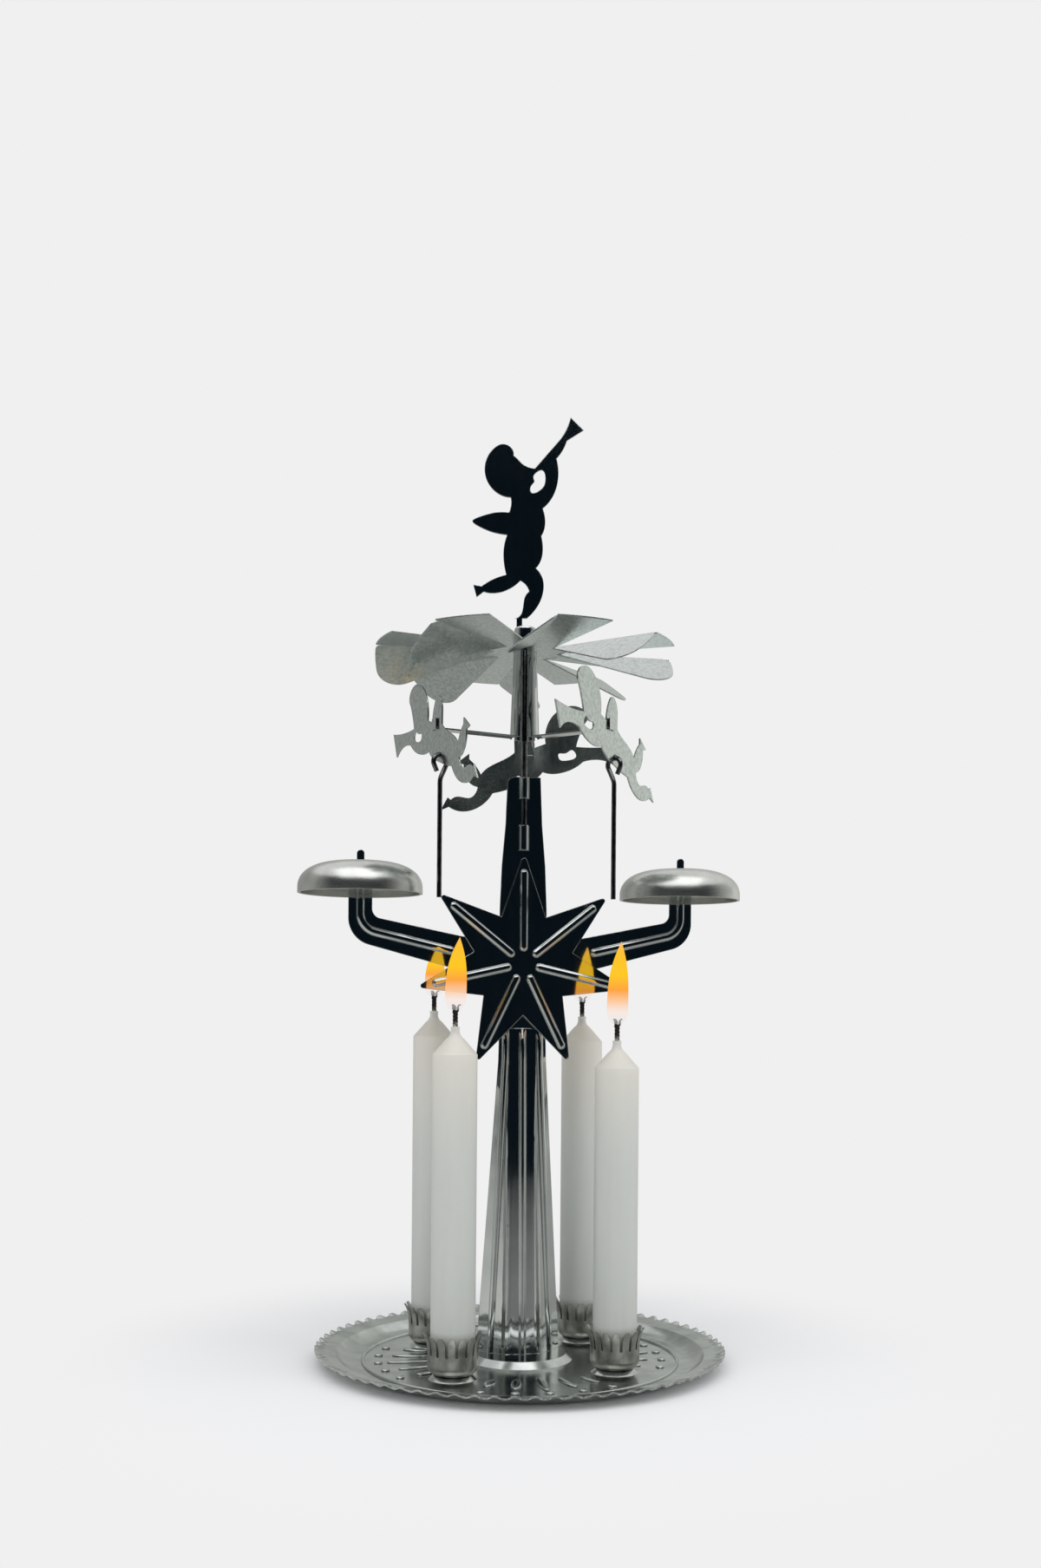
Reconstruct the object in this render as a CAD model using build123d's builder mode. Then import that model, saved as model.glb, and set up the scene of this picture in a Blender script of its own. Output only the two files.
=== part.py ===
from build123d import *
import os
from math import cos, radians, sin, sqrt, tan

# Angel chime carousel. Warm air rising from four candles turns a bladed fan that stands on a needle,
# and the wire strikers hung from three flying figures ring the two bells as they pass.
# Millimetres, +Z up, origin under the middle of the tray, star to the front, which is -Y.

# Clearances
seat_gap = 0.05         # between a loose piece and the seat that it stands on
slot_gap = 0.12         # round a tab or tongue in its slot
hang_gap = 0.3          # round a wire that hangs in a hole
candle_gap = 0.35       # round a candle in its cup

# Drip tray, pressed from tinplate
tray_sheet = 0.5
tray_r = 64.0
tray_rim_z = 4.0
tray_wall_r = 57.5
tray_wall_z = 2.8
tray_floor_r = 51.5
tray_wall_sag = 1.0
scallop_count = 72
scallop_r = 2.0
scallop_depth = 0.75
platform_r = 14.5
platform_foot_r = 16.5
platform_rise = 2.0

# Candle cups, each swaged into a raised boss of the tray
cup_x = 24.8
cup_y = 22.5
boss_r = 7.2
boss_top_r = 5.8
boss_rise = 1.2
cup_sheet = 0.45
cup_height = 12.2
cup_base_r = 4.8
cup_body_z = 3.2
cup_flare_z = 7.0
cup_flare = 1.5
cup_teeth = 16
tooth_gap_low = 0.8
tooth_gap_high = 2.2
tooth_gap_z = 6.6
tooth_vee_z = 10.2
spigot_r = 2.0
spigot_flange = 1.2

# Candles and wicks
candle_d = 13.4
candle_length = 107.0
candle_cone = 8.2
candle_neck_d = 2.8
candle_crown_d = 5.4
candle_neck = 3.6
wick_d = 1.5
wick_stand = 6.5
wick_depth = 9.0
wick_lean = 24.0
burnt_down = {"front_left": 4.5, "front_right": 8.5, "back_left": 0.0, "back_right": 1.5}

# Column, one sheet: a flat plate above and a fluted, open-backed channel below
column_sheet = 0.6
column_top_z = 183.0
column_top_w = 10.5
column_neck_z = 168.0
column_neck_w = 11.7
column_shoulder_z = 155.0
column_shoulder_w = 13.9
column_waist_z = 141.0
column_w = 15.0
column_corner = 2.2
column_flute_top_z = 104.0
column_flute_full_z = 100.5
column_knee_z = 94.0
column_foot_w = 26.6
column_foot_front = 4.0
column_foot_back = 4.0
column_panel_share = 0.44
column_fold_share = 0.2     # of a side panel's width that each rounded fold takes up
flute_w = 2.3
flute_h = 0.9
foot_tab_x = 4.2
foot_tab_w = 2.4
foot_tab_fold = 3.0

# Needle, held in three pressed loops of the column
needle_d = 1.9
needle_point = 3.0
needle_point_d = 0.4
needle_fit = 0.04
loop_z = (160.0, 168.0, 176.0, 183.0)
loop_gap = 0.25

# Star
star_sheet = 0.5
star_points = 7
star_r = 34.9
star_root_r = 16.2
star_z = 124.3
star_tip_round = 0.8
star_rib_w = 2.4
star_rib_h = 0.9
star_rib_round = 0.85
star_rib_in = 4.0
star_rib_out = 29.5

# Crossbar with the two bell posts
bar_sheet = 0.6
bell_x = 51.2
post_w = 7.3
arm_low_z = 116.7
arm_low_rise = 14.8
arm_high_z = 128.8
arm_high_rise = 11.2
elbow_out_r = 8.5
elbow_in_r = 3.0
bell_pin_w = 2.3
bell_pin_stand = 3.6
bar_rib_w = 2.4
bar_rib_h = 0.9
bar_rib_round = 0.85
bar_rib_start = 23.0
bar_rib_top_z = 150.0
bar_rib_bend = 6.0
bar_clip_z = 119.5
bar_clip_h = 5.0
bar_clip_fold = 2.6

# Bells
bell_r = 19.2
bell_height = 9.8
bell_rim_z = 145.3
bell_wall = 0.8
bell_crown_r = 6.0
bell_crown_sweep = 4.8
bell_rim_lip = 1.6
bell_hole_r = 1.45

# Carrier: a tapered three-legged hub whose legs turn out into arms
carrier_sheet = 0.5
carrier_arm_z = 195.0
carrier_top_z = 230.0
carrier_top_r = 3.4
carrier_low_r = 4.6
carrier_corner = 0.9
carrier_slit_w = 2.4
carrier_slit_top_z = 225.5
carrier_arms = 3
arm_w = 4.2
tongue_w = 3.0
tongue_up = 3.4
arm_azimuth = 196.6

# Fan
fan_sheet = 0.4
fan_z = 222.0
fan_r = 47.0
fan_blades = 8
fan_fold_r = 10.0
blade_span = 24.0
blade_pitch = 36.0
blade_round = 2.0
blade_corner = 7.0

# Flying figures, flat sheets hung on the arms, and the figure on top of the hub
figure_sheet = 0.5
figure_length = 61.7
figure_drawn_length = 61.7
top_figure_height = 63.5
top_figure_drawn_height = 63.5
top_figure_lift = 2.8
top_figure_azimuth = -11.0
top_tab_x = -1.9
top_tab_w = 1.8
top_tab_depth = 1.6

# Strikers, bent from wire
striker_d = 1.5
striker_length = 44.0
striker_pass = 0.6      # between a hanging striker and the bell that it passes
eye_r = 2.2
eye_taper = 25.0
eye_tail = 2.2
eye_bend_r = 5.0
striker_hole_x = 3.0
striker_hole_z = -8.2

os.makedirs("parts", exist_ok=True)

# Flying figure, seen from outside the carousel with the trumpet to the left. The slot on the arm is at
# (0, 0). Each run is one stretch of the outline: straight with two points, otherwise a smooth curve.
flyer_runs = [
    [(-16.3, 2.6), (-24.0, 2.4), (-32.6, 3.4)],
    [(-32.6, 3.4), (-29.8, -4.4)],
    [(-29.8, -4.4), (-26.8, -2.4), (-23.0, -1.7), (-18.6, -2.4)],
    [(-18.6, -2.4), (-15.6, -4.6), (-12.0, -6.0), (-8.6, -6.5), (-5.1, -5.9)],
    [(-5.1, -5.9), (-1.8, -8.8), (2.5, -10.4), (7.0, -11.9), (11.6, -13.0)],
    [(11.6, -13.0), (15.2, -17.0), (20.5, -19.1), (26.3, -17.6)],
    [(26.3, -17.6), (29.1, -18.8)],
    [(29.1, -18.8), (26.7, -14.4)],
    [(26.7, -14.4), (25.6, -15.2)],
    [(25.6, -15.2), (22.2, -14.2), (19.1, -14.5), (17.2, -12.7), (16.7, -10.9)],
    [(16.7, -10.9), (19.6, -9.3), (21.0, -6.8), (21.4, -3.4)],
    [(21.4, -3.4), (23.5, -2.7)],
    [(23.5, -2.7), (19.5, 0.3)],
    [(19.5, 0.3), (19.5, -1.6)],
    [(19.5, -1.6), (17.5, -3.6), (15.6, -6.7)],
    [(15.6, -6.7), (12.9, -4.2), (9.2, -2.3), (4.4, 0.6)],
    [(4.4, 0.6), (4.5, 4.6), (3.7, 8.4), (1.6, 10.1), (-1.0, 7.6), (-2.2, 2.2)],
    [(-2.2, 2.2), (-6.0, 3.6)],
    [(-6.0, 3.6), (-5.9, 7.2), (-7.4, 11.6), (-11.0, 15.2), (-16.0, 16.2), (-19.4, 14.2), (-19.9, 11.4)],
    [(-19.9, 11.4), (-18.5, 9.2), (-17.6, 7.0), (-16.8, 4.8), (-16.3, 2.6)],
]
flyer_arm_gap = [(-16.0, 0.5), (-14.6, 1.5), (-12.6, 0.4), (-10.4, 0.2), (-10.6, -1.4), (-13.0, -2.0)]

# Top figure, facing the trumpet's side. (0, 0) is on the hub's axis at the height of the sole.
top_runs = [
    [(0.4, 0.0), (3.4, 3.3), (5.4, 7.8), (5.4, 12.4), (3.2, 15.9)],
    [(3.2, 15.9), (5.0, 19.2), (5.3, 22.6), (4.8, 26.0)],
    [(4.8, 26.0), (5.9, 29.0), (5.9, 31.8), (5.2, 34.7)],
    [(5.2, 34.7), (8.4, 38.6), (9.9, 43.6), (9.4, 50.4)],
    [(9.4, 50.4), (11.2, 52.8), (12.6, 56.0)],
    [(12.6, 56.0), (17.9, 59.4)],
    [(17.9, 59.4), (13.7, 63.5)],
    [(13.7, 63.5), (12.2, 59.2), (10.4, 56.4)],
    [(10.4, 56.4), (2.6, 47.3)],
    [(2.6, 47.3), (0.9, 47.6), (-1.3, 48.7), (-2.6, 50.0), (-4.1, 51.3)],
    [(-4.1, 51.3), (-5.0, 53.9), (-7.4, 54.9), (-10.6, 53.3), (-12.8, 49.6), (-12.9, 44.6), (-10.0, 40.0),
     (-4.9, 38.0)],
    [(-4.9, 38.0), (-4.8, 35.6), (-5.4, 33.4)],
    [(-5.4, 33.4), (-9.4, 33.4), (-14.0, 32.2), (-16.9, 30.6), (-14.0, 28.4), (-10.0, 26.9), (-6.0, 26.2)],
    [(-6.0, 26.2), (-7.0, 22.0), (-7.0, 18.2), (-6.2, 13.8)],
    [(-6.2, 13.8), (-10.4, 12.3), (-13.9, 10.1)],
    [(-13.9, 10.1), (-16.5, 10.6)],
    [(-16.5, 10.6), (-15.4, 6.6)],
    [(-15.4, 6.6), (-13.2, 8.3)],
    [(-13.2, 8.3), (-9.3, 7.9), (-5.2, 9.2), (-1.7, 11.9)],
    [(-1.7, 11.9), (0.2, 10.4), (1.1, 8.6)],
    [(1.1, 8.6), (-0.6, 5.2), (-1.2, 1.8), (-3.4, 0.0)],
    [(-3.4, 0.0), (0.4, 0.0)],
]
top_arm_gap = [(2.7, 45.6), (5.3, 46.4), (5.9, 43.6), (4.6, 40.8), (1.5, 39.8), (1.4, 41.6), (2.5, 43.2)]


def add_outline(runs, scale):
    """Draws the runs of a figure's outline, one edge each, at the given scale."""
    for run in runs:
        points = [(x * scale, z * scale) for x, z in run]
        if len(points) == 2:
            Line(*points)
        else:
            Spline(*points)


def add_gap(points, scale):
    """Draws the closed smooth outline of the opening between a figure's arm and face."""
    Spline(*[(x * scale, z * scale) for x, z in points], periodic=True)


def radial_plane(azimuth, radius, along, height):
    """Plane square to a radius: x runs anticlockwise round the carousel, y up and z outwards."""
    turn = radians(azimuth)
    outward = Vector(cos(turn), sin(turn), 0)
    round_about = Vector(-sin(turn), cos(turn), 0)
    return Plane(outward * radius + round_about * along + Vector(0, 0, height), round_about, outward)


# Drip tray: flat floor that rests on the table, raised platform for the column, dished wall, and a
# scalloped rim. A raised boss with a hole takes each cup's spigot.
boss_hole_r = spigot_r + seat_gap
boss_top_z = boss_rise + tray_sheet
platform_top_z = platform_rise + tray_sheet
wall_mid_r = (tray_floor_r + tray_wall_r) / 2
wall_mid_z = tray_wall_z / 2 - tray_wall_sag
tab_slot_w = foot_tab_w + 2 * slot_gap
tab_slot_t = column_sheet + 2 * slot_gap
foot_panel_y = -column_foot_front + column_sheet / 2
candle_spots = {
    "front_left": (-cup_x, -cup_y, 0),
    "front_right": (cup_x, -cup_y, 0),
    "back_left": (-cup_x, cup_y, 0),
    "back_right": (cup_x, cup_y, 0),
}

with BuildPart() as boss:
    with BuildSketch(Plane.XZ):
        with BuildLine():
            Polyline(
                (boss_hole_r, boss_rise),
                (boss_top_r, boss_rise),
                (boss_r, 0),
                (boss_r, tray_sheet),
                (boss_top_r, boss_top_z),
                (boss_hole_r, boss_top_z),
                close=True,
            )
        make_face()
    revolve(axis=Axis.Z)

with BuildPart() as tray:
    with BuildSketch(Plane.XZ):
        with BuildLine():
            Polyline((0, platform_rise), (platform_r, platform_rise), (platform_foot_r, 0), (tray_floor_r, 0))
            ThreePointArc((tray_floor_r, 0), (wall_mid_r, wall_mid_z), (tray_wall_r, tray_wall_z))
            Polyline(
                (tray_wall_r, tray_wall_z),
                (tray_r, tray_rim_z),
                (tray_r, tray_rim_z + tray_sheet),
                (tray_wall_r, tray_wall_z + tray_sheet),
            )
            ThreePointArc(
                (tray_wall_r, tray_wall_z + tray_sheet),
                (wall_mid_r, wall_mid_z + tray_sheet),
                (tray_floor_r, tray_sheet),
            )
            Polyline(
                (tray_floor_r, tray_sheet),
                (platform_foot_r, tray_sheet),
                (platform_r, platform_top_z),
                (0, platform_top_z),
                (0, platform_rise),
            )
        make_face()
    revolve(axis=Axis.Z)
    with BuildSketch(Plane.XY):
        with PolarLocations(tray_r + scallop_r - scallop_depth, scallop_count):
            Circle(scallop_r)
    extrude(amount=2 * tray_rim_z, mode=Mode.SUBTRACT)
    with BuildSketch(Plane.XY):
        with Locations(*candle_spots.values()):
            Circle(boss_r)
        with Locations((-foot_tab_x, foot_panel_y), (foot_tab_x, foot_panel_y)):
            Rectangle(tab_slot_w, tab_slot_t)
    extrude(amount=platform_top_z, mode=Mode.SUBTRACT)
    with Locations(*candle_spots.values()):
        add(boss.part)
tray.part.label = "tray"
export_step(tray.part, "parts/tray.step")

# Candle cup: drawn shell with a crown of teeth, split by slits and flared outwards. Its tubular spigot
# goes through the boss and is rolled over below it.
cup_in_r = candle_d / 2 + candle_gap
cup_body_r = cup_in_r + cup_sheet
cup_rim_r = cup_body_r + cup_flare
cup_floor_in_r = cup_base_r - cup_sheet / 2
flange_r = spigot_r + spigot_flange
flange_low_z = -tray_sheet - cup_sheet
base_bulge = radians(45)
base_mid_r = cup_base_r + (cup_body_r - cup_base_r) * sin(base_bulge)
base_mid_z = cup_body_z * (1 - cos(base_bulge))
inner_mid_r = cup_floor_in_r + (cup_in_r - cup_floor_in_r) * sin(base_bulge)
inner_mid_z = cup_sheet + (cup_body_z - cup_sheet) * (1 - cos(base_bulge))
flare_mid_z = (cup_flare_z + cup_height) / 2
flare_mid = cup_flare / 4

with BuildPart() as tooth_gap:
    with BuildSketch(Plane.XZ):
        with BuildLine():
            Polyline(
                (tooth_gap_low / 2, tooth_gap_z),
                (tooth_gap_low / 2, tooth_vee_z),
                (tooth_gap_high / 2, cup_height),
                (tooth_gap_high / 2, 2 * cup_height),
                (-tooth_gap_high / 2, 2 * cup_height),
                (-tooth_gap_high / 2, cup_height),
                (-tooth_gap_low / 2, tooth_vee_z),
                (-tooth_gap_low / 2, tooth_gap_z),
            )
            ThreePointArc(
                (-tooth_gap_low / 2, tooth_gap_z),
                (0, tooth_gap_z - tooth_gap_low / 2),
                (tooth_gap_low / 2, tooth_gap_z),
            )
        make_face()
    extrude(amount=2 * cup_rim_r, both=True)

with BuildPart() as cup:
    with BuildSketch(Plane.XZ):
        with BuildLine():
            Polyline(
                (spigot_r - cup_sheet, cup_sheet),
                (spigot_r - cup_sheet, flange_low_z),
                (flange_r, flange_low_z),
                (flange_r, -tray_sheet),
                (spigot_r, -tray_sheet),
                (spigot_r, 0),
                (cup_base_r, 0),
            )
            ThreePointArc((cup_base_r, 0), (base_mid_r, base_mid_z), (cup_body_r, cup_body_z))
            Line((cup_body_r, cup_body_z), (cup_body_r, cup_flare_z))
            ThreePointArc(
                (cup_body_r, cup_flare_z),
                (cup_body_r + flare_mid, flare_mid_z),
                (cup_rim_r, cup_height),
            )
            Line((cup_rim_r, cup_height), (cup_rim_r - cup_sheet, cup_height))
            ThreePointArc(
                (cup_rim_r - cup_sheet, cup_height),
                (cup_in_r + flare_mid, flare_mid_z),
                (cup_in_r, cup_flare_z),
            )
            Line((cup_in_r, cup_flare_z), (cup_in_r, cup_body_z))
            ThreePointArc((cup_in_r, cup_body_z), (inner_mid_r, inner_mid_z), (cup_floor_in_r, cup_sheet))
            Line((cup_floor_in_r, cup_sheet), (spigot_r - cup_sheet, cup_sheet))
        make_face()
    revolve(axis=Axis.Z)
    with PolarLocations(0, cup_teeth // 2, angular_range=180):
        add(tooth_gap.part, mode=Mode.SUBTRACT)

for spot_name, spot in candle_spots.items():
    placed_cup = cup.part.moved(Location(Vector(spot) + Vector(0, 0, boss_top_z)))
    placed_cup.label = f"cup_{spot_name}"
    export_step(placed_cup, f"parts/cup_{spot_name}.step")

# Candles: dipped white candles with a rounded foot that stands in the cup, a sloped shoulder, and a thin
# neck of wax round the wick. The wick is a separate cord in the candle's top.
candle_foot_z = boss_top_z + cup_sheet + seat_gap
candle_foot_round = cup_body_z - cup_sheet
wick_hole_r = wick_d / 2 + seat_gap

for spot_name, spot in candle_spots.items():
    candle_top_z = candle_foot_z + candle_length - burnt_down[spot_name]
    shoulder_z = candle_top_z - candle_cone
    crown_z = candle_top_z - candle_neck
    wick_low_z = candle_top_z - wick_depth
    wick_bend_z = candle_top_z + wick_stand / 2
    wick_side = wick_stand / 2 * tan(radians(wick_lean))
    candle_axis = Axis(spot, (0, 0, 1))
    candle_plane = Plane(spot, (1, 0, 0), (0, -1, 0))

    with BuildPart() as candle:
        with BuildSketch(candle_plane):
            with BuildLine():
                Polyline(
                    (0, wick_low_z),
                    (0, candle_foot_z),
                    (candle_d / 2 - candle_foot_round, candle_foot_z),
                    (candle_d / 2, candle_foot_z + candle_foot_round),
                    (candle_d / 2, shoulder_z),
                    (candle_crown_d / 2, crown_z),
                )
                Spline(
                    (candle_crown_d / 2, crown_z),
                    (candle_neck_d / 2 + wick_d / 4, crown_z + candle_neck / 4),
                    (candle_neck_d / 2, candle_top_z),
                )
                Polyline(
                    (candle_neck_d / 2, candle_top_z),
                    (wick_hole_r, candle_top_z),
                    (wick_hole_r, wick_low_z),
                    (0, wick_low_z),
                )
            make_face()
        revolve(axis=candle_axis)
    candle.part.label = f"candle_{spot_name}"
    export_step(candle.part, f"parts/candle_{spot_name}.step")

    with BuildPart() as wick:
        with BuildLine(candle_plane) as wick_line:
            FilletPolyline(
                (0, wick_low_z),
                (0, wick_bend_z),
                (wick_side, candle_top_z + wick_stand),
                radius=wick_stand / 4,
            )
        with BuildSketch(Plane(Vector(spot) + Vector(0, 0, wick_low_z))):
            Circle(wick_d / 2)
        sweep(path=wick_line.line)
    wick.part.label = f"wick_{spot_name}"
    export_step(wick.part, f"parts/wick_{spot_name}.step")

# Column: the flat plate above carries the needle's loops, the star and the crossbar. Below the star it
# is folded to an open-backed channel with three flutes, and two tabs hold it in the tray.
plate_front = column_sheet / 2
needle_hole_r = needle_d / 2 + needle_fit
loop_r = needle_hole_r + column_sheet
foot_fold_low_z = platform_rise - column_sheet
flute_in_w = flute_w - column_sheet


def column_section(height, width, front, back, bead):
    """Face of the channel's section: three panels with a raised flute each, and rounded folds between."""
    panel = width * column_panel_share / 2
    outer = [Vector(-width / 2, back), Vector(-panel, -front), Vector(panel, -front), Vector(width / 2, back)]
    outer = [corner - Vector(0, plate_front) for corner in outer]
    alongs = [(end - start).normalized() for start, end in zip(outer, outer[1:])]
    inwards = [Vector(-along.Y, along.X) for along in alongs]
    inner = []
    for corner, before, after in zip(outer, inwards[:1] + inwards, inwards + inwards[-1:]):
        mitre = (before + after).normalized()
        inner.append(corner + mitre * (column_sheet / mitre.dot(after)))
    fold = (outer[1] - outer[0]).length * column_fold_share
    with BuildSketch(Plane.XY.offset(height)) as section:
        with BuildLine():
            for corners, depth, reach in ((outer, 0, flute_w / 2), (inner, column_sheet, flute_in_w / 2)):
                starts = [corners[0]]
                ends = []
                for bend in (1, 2):
                    ends.append(outer[bend] - alongs[bend - 1] * fold + inwards[bend - 1] * depth)
                    starts.append(outer[bend] + alongs[bend] * fold + inwards[bend] * depth)
                    Bezier(ends[-1], corners[bend], starts[-1])
                ends.append(corners[-1])
                for number, (along, inward) in enumerate(zip(alongs, inwards)):
                    middle = (outer[number] + outer[number + 1]) / 2 + inward * depth
                    Line(starts[number], middle - along * reach)
                    ThreePointArc(middle - along * reach, middle - inward * bead, middle + along * reach)
                    Line(middle + along * reach, ends[number])
            Line(outer[0], inner[0])
            Line(outer[-1], inner[-1])
        make_face()
    return section.sketch.face()


column_sections = [
    column_section(platform_top_z, column_foot_w, column_foot_front - plate_front, column_foot_back, flute_h),
    column_section(column_knee_z, column_w + plate_front, 2 * plate_front, 0, flute_h),
    column_section(column_flute_full_z, column_w, plate_front, 0, flute_h),
    column_section(column_flute_top_z, column_w, seat_gap, 0, seat_gap),
]

with BuildPart() as column:
    loft(column_sections, ruled=True)
    with BuildSketch(Plane.XZ) as column_plate:
        with BuildLine():
            Polyline(
                (0, column_flute_top_z),
                (column_w / 2, column_flute_top_z),
                (column_w / 2, column_waist_z),
                (column_shoulder_w / 2, column_shoulder_z),
                (column_neck_w / 2, column_neck_z),
                (column_top_w / 2, column_top_z),
                (0, column_top_z),
                close=True,
            )
        make_face()
        mirror(about=Plane.YZ)
        fillet(column_plate.vertices().group_by(Axis.Y)[-1].sort_by(Axis.X)[0::2], column_corner)
    extrude(amount=plate_front, both=True)
    with BuildSketch(Plane.XY.offset(loop_z[0])):
        Rectangle(2 * needle_hole_r, 4 * loop_r)
    extrude(amount=column_top_z - loop_z[0], mode=Mode.SUBTRACT)
    for step, (low, high) in enumerate(zip(loop_z, loop_z[1:])):
        side_y = -1 if step % 2 == 0 else 1
        with BuildSketch(Plane.XY.offset(low + loop_gap)):
            Circle(loop_r)
            Circle(needle_hole_r, mode=Mode.SUBTRACT)
            with Locations((0, -side_y * (loop_r + plate_front))):
                Rectangle(2 * loop_r, 2 * loop_r, mode=Mode.SUBTRACT)
        extrude(amount=high - low - 2 * loop_gap)
    with BuildSketch(Plane.XY.offset(loop_z[0])):
        Circle(loop_r)
    extrude(amount=loop_gap)
    with BuildSketch(Plane.XY.offset(foot_fold_low_z)):
        with Locations((-foot_tab_x, foot_panel_y), (foot_tab_x, foot_panel_y)):
            Rectangle(foot_tab_w, column_sheet)
    extrude(amount=platform_top_z - foot_fold_low_z)
    with BuildSketch(Plane.XY.offset(foot_fold_low_z)):
        with Locations((-foot_tab_x, foot_panel_y), (foot_tab_x, foot_panel_y)):
            Rectangle(foot_tab_w, foot_tab_fold, align=(Align.CENTER, Align.MIN))
    extrude(amount=column_sheet)
column.part.label = "column"
export_step(column.part, "parts/column.step")

# Needle: plain wire with a ground point, standing on the closed foot of the lowest loop.
needle_foot_z = loop_z[0] + loop_gap
dimple_depth = needle_point_d
needle_tip_z = carrier_top_z - carrier_sheet + dimple_depth / 2 - seat_gap

with BuildPart() as needle:
    with BuildSketch(Plane.XZ):
        with BuildLine():
            Polyline(
                (0, needle_foot_z),
                (needle_d / 2, needle_foot_z),
                (needle_d / 2, needle_tip_z - needle_point),
                (needle_point_d / 2, needle_tip_z),
                (0, needle_tip_z),
                close=True,
            )
        make_face()
    revolve(axis=Axis.Z)
needle.part.label = "needle"
export_step(needle.part, "parts/needle.step")

# Star: a flat seven-pointed plate in front of the crossbar, with a rib pressed into each point.
bar_front = plate_front + bar_sheet
star_front = bar_front + star_sheet
rib_mid = (star_rib_in + star_rib_out) / 2
point_step = 360 / star_points

with BuildPart() as star_rib:
    with BuildSketch(Plane.XZ.offset(bar_front)):
        with Locations((0, rib_mid)):
            SlotOverall(star_rib_out - star_rib_in, star_rib_w, rotation=90)
    extrude(amount=star_sheet + star_rib_h)
    fillet(star_rib.edges().group_by(Axis.Y)[0], star_rib_round)

with BuildPart() as star:
    with BuildSketch(Plane.XZ.offset(bar_front).shift_origin((0, -bar_front, star_z))) as star_face:
        with BuildLine():
            star_corners = []
            for point in range(star_points):
                tip_turn = radians(90 + point * point_step)
                root_turn = radians(90 + (point + 0.5) * point_step)
                star_corners.append((star_r * cos(tip_turn), star_r * sin(tip_turn)))
                star_corners.append((star_root_r * cos(root_turn), star_root_r * sin(root_turn)))
            Polyline(*star_corners, close=True)
        make_face()
        fillet(star_face.vertices().sort_by_distance((0, -bar_front, star_z))[star_points:], star_tip_round)
    extrude(amount=star_sheet)
    for point in range(star_points):
        add(star_rib.part.rotate(Axis.Y, point * point_step).moved(Location((0, 0, star_z))))
star.part.label = "star"
export_step(star.part, "parts/star.step")

# Crossbar: pressed strip behind the star. Its arms rise to two posts, each with shoulders that carry a
# bell and a pin that the bell turns on. Two clips fold round the column's edges.
bell_top_z = bell_rim_z + bell_height
post_top_z = bell_top_z - bell_wall - seat_gap
pin_top_z = bell_top_z + bell_pin_stand
post_out_x = bell_x + post_w / 2
post_in_x = bell_x - post_w / 2
low_slope = tan(radians(arm_low_rise))
high_slope = tan(radians(arm_high_rise))
elbow_low_z = arm_low_z + low_slope * post_out_x
elbow_high_z = arm_high_z + high_slope * post_in_x
rib_start_z = (arm_low_z + arm_high_z + (low_slope + high_slope) * bar_rib_start) / 2
rib_elbow_z = (arm_low_z + arm_high_z + (low_slope + high_slope) * bell_x) / 2
clip_in_x = column_w / 2 + seat_gap
clip_x = clip_in_x + bar_sheet / 2
clip_fold_x = clip_in_x + bar_sheet - bar_clip_fold / 2
clip_fold_y = plate_front + bar_sheet / 2

with BuildPart() as bar_rib:
    with BuildSketch(Plane.XZ.offset(plate_front)):
        with BuildLine():
            FilletPolyline(
                (bar_rib_start, rib_start_z),
                (bell_x, rib_elbow_z),
                (bell_x, bar_rib_top_z),
                radius=bar_rib_bend,
            )
        trace(line_width=bar_rib_w)
        with Locations((bar_rib_start, rib_start_z), (bell_x, bar_rib_top_z)):
            Circle(bar_rib_w / 2)
    extrude(amount=bar_sheet + bar_rib_h)
    fillet(bar_rib.edges().group_by(Axis.Y)[0], bar_rib_round)

with BuildPart() as crossbar:
    with BuildSketch(Plane.XZ.offset(plate_front)) as bar_face:
        with BuildLine():
            FilletPolyline(
                (0, arm_low_z),
                (post_out_x, elbow_low_z),
                (post_out_x, post_top_z),
                radius=elbow_out_r,
            )
            Polyline(
                (post_out_x, post_top_z),
                (bell_x + bell_pin_w / 2, post_top_z),
                (bell_x + bell_pin_w / 2, pin_top_z - bell_pin_w / 2),
            )
            ThreePointArc(
                (bell_x + bell_pin_w / 2, pin_top_z - bell_pin_w / 2),
                (bell_x, pin_top_z),
                (bell_x - bell_pin_w / 2, pin_top_z - bell_pin_w / 2),
            )
            Polyline(
                (bell_x - bell_pin_w / 2, pin_top_z - bell_pin_w / 2),
                (bell_x - bell_pin_w / 2, post_top_z),
                (post_in_x, post_top_z),
            )
            FilletPolyline(
                (post_in_x, post_top_z),
                (post_in_x, elbow_high_z),
                (0, arm_high_z),
                radius=elbow_in_r,
            )
            Line((0, arm_high_z), (0, arm_low_z))
        make_face()
        mirror(about=Plane.YZ)
    extrude(amount=bar_sheet)
    add(bar_rib.part)
    mirror(bar_rib.part, about=Plane.YZ)
    with BuildSketch(Plane.XY.offset(bar_clip_z)):
        for side_x in (-1, 1):
            with Locations((side_x * clip_x, 0)):
                Rectangle(bar_sheet, 2 * bar_front)
            with Locations((side_x * clip_fold_x, clip_fold_y)):
                Rectangle(bar_clip_fold, bar_sheet)
    extrude(amount=bar_clip_h)
crossbar.part.label = "crossbar"
export_step(crossbar.part, "parts/crossbar.step")

# Bells: spun domes with a flat crown and a nearly upright rim, loose on the pins.
bell_in_r = bell_r - bell_wall
bell_lip_z = bell_rim_z + bell_rim_lip

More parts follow.
